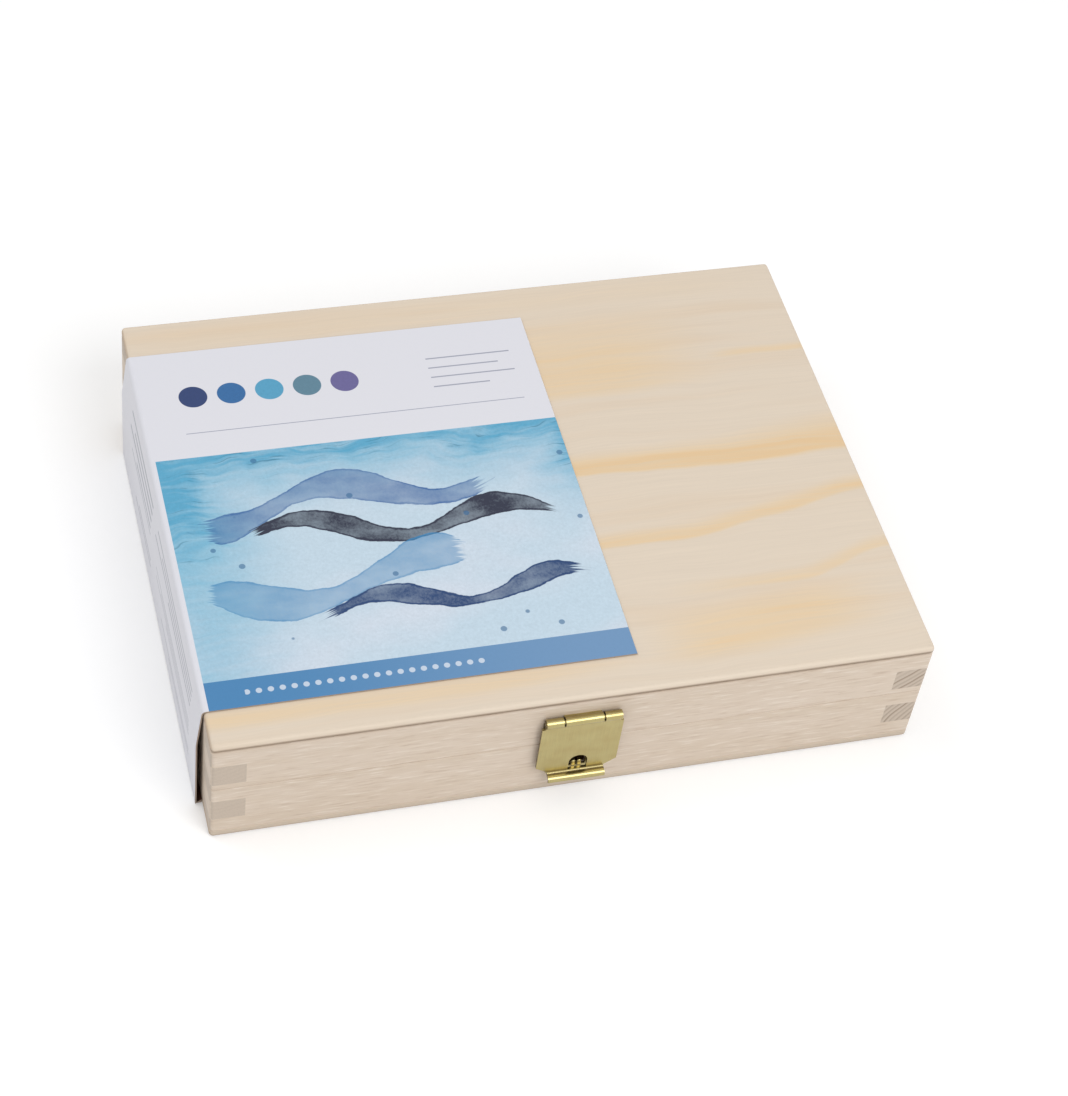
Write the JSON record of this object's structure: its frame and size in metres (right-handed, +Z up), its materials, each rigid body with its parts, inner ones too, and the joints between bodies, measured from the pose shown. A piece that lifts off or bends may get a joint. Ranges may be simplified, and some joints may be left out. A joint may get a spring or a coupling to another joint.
{
  "type": "wooden watercolor paint box",
  "caption": "Flat comb-jointed wooden paint box with a hinged lid, brass snap latch, printed card sleeve and a row of paint tubes in bays inside.",
  "frame": {"origin": "centre of the underside of the bottom board", "axes": "+X to the right along the latch side, +Y from the latch to the hinges, +Z up out of the lid"},
  "size_m": [0.1919, 0.1548, 0.0385],
  "materials": {
    "panel_wood": "sanded, clear matt lacquer",
    "rim_wood": "sanded, clear matt lacquer",
    "divider_wood": "sanded plywood, bare",
    "latch_brass": "brushed",
    "hinge_brass": "satin",
    "printed_card": "printed, satin",
    "tube_metal": "enamelled, satin",
    "cap_plastic": "moulded"
  },
  "bodies": {
    "base": {"base_front_board": "rim_wood", "base_back_board": "rim_wood", "base_left_board": "rim_wood", "base_right_board": "rim_wood", "base_bottom_panel": "panel_wood", "base_cross_divider": "divider_wood", "tube_divider_1": "divider_wood", "tube_divider_2": "divider_wood", "tube_divider_3": "divider_wood", "tube_divider_4": "divider_wood", "hinge_left_base_leaf": "hinge_brass", "hinge_right_base_leaf": "hinge_brass", "hinge_left_pin": "hinge_brass", "hinge_right_pin": "hinge_brass", "latch_catch": "latch_brass"},
    "lid": {"lid_front_board": "rim_wood", "lid_back_board": "rim_wood", "lid_left_board": "rim_wood", "lid_right_board": "rim_wood", "lid_top_panel": "panel_wood", "hinge_left_lid_leaf": "hinge_brass", "hinge_right_lid_leaf": "hinge_brass", "latch_fixed_leaf": "latch_brass", "latch_pin": "latch_brass"},
    "flap": {"latch_flap": "latch_brass"},
    "sleeve": {"sleeve_card": "printed_card"},
    "tube_1": {"tube_1_body": "tube_metal"},
    "cap_1": {"tube_1_cap": "cap_plastic"},
    "tube_2": {"tube_2_body": "tube_metal"},
    "cap_2": {"tube_2_cap": "cap_plastic"},
    "tube_3": {"tube_3_body": "tube_metal"},
    "cap_3": {"tube_3_cap": "cap_plastic"},
    "tube_4": {"tube_4_body": "tube_metal"},
    "cap_4": {"tube_4_cap": "cap_plastic"},
    "tube_5": {"tube_5_body": "tube_metal"},
    "cap_5": {"tube_5_cap": "cap_plastic"}
  },
  "joints": [
    {"name": "lid_hinge", "type": "hinge", "parent": "base", "child": "lid", "pos_m": [0, 0.07544, 0.0202], "axis": [-1, 0, 0], "range_deg": [0, 180]},
    {"name": "latch_hinge", "type": "hinge", "parent": "lid", "child": "flap", "pos_m": [0, -0.07524, 0.0307], "axis": [1, 0, 0], "range_deg": [-170, 0]},
    {"name": "sleeve_slide", "type": "slide", "parent": "lid", "child": "sleeve", "axis": [1, 0, 0], "range_m": [-0.115, 0]},
    {"name": "tube_1_lift", "type": "slide", "parent": "base", "child": "tube_1", "axis": [0, 0, 1], "range_m": [0, 0.012]},
    {"name": "cap_1_turn", "type": "hinge", "parent": "tube_1", "child": "cap_1", "pos_m": [-0.06963, -0.02657, 0.01275], "axis": [0, -0.9951, 0.0986], "range_deg": [0, 720]},
    {"name": "tube_2_lift", "type": "slide", "parent": "base", "child": "tube_2", "axis": [0, 0, 1], "range_m": [0, 0.012]},
    {"name": "cap_2_turn", "type": "hinge", "parent": "tube_2", "child": "cap_2", "pos_m": [-0.03482, -0.02657, 0.01275], "axis": [0, -0.9951, 0.0986], "range_deg": [0, 720]},
    {"name": "tube_3_lift", "type": "slide", "parent": "base", "child": "tube_3", "axis": [0, 0, 1], "range_m": [0, 0.012]},
    {"name": "cap_3_turn", "type": "hinge", "parent": "tube_3", "child": "cap_3", "pos_m": [0, -0.02657, 0.01275], "axis": [0, -0.9951, 0.0986], "range_deg": [0, 720]},
    {"name": "tube_4_lift", "type": "slide", "parent": "base", "child": "tube_4", "axis": [0, 0, 1], "range_m": [0, 0.012]},
    {"name": "cap_4_turn", "type": "hinge", "parent": "tube_4", "child": "cap_4", "pos_m": [0.03482, -0.02657, 0.01275], "axis": [0, -0.9951, 0.0986], "range_deg": [0, 720]},
    {"name": "tube_5_lift", "type": "slide", "parent": "base", "child": "tube_5", "axis": [0, 0, 1], "range_m": [0, 0.012]},
    {"name": "cap_5_turn", "type": "hinge", "parent": "tube_5", "child": "cap_5", "pos_m": [0.06963, -0.02657, 0.01275], "axis": [0, -0.9951, 0.0986], "range_deg": [0, 720]}
  ]
}
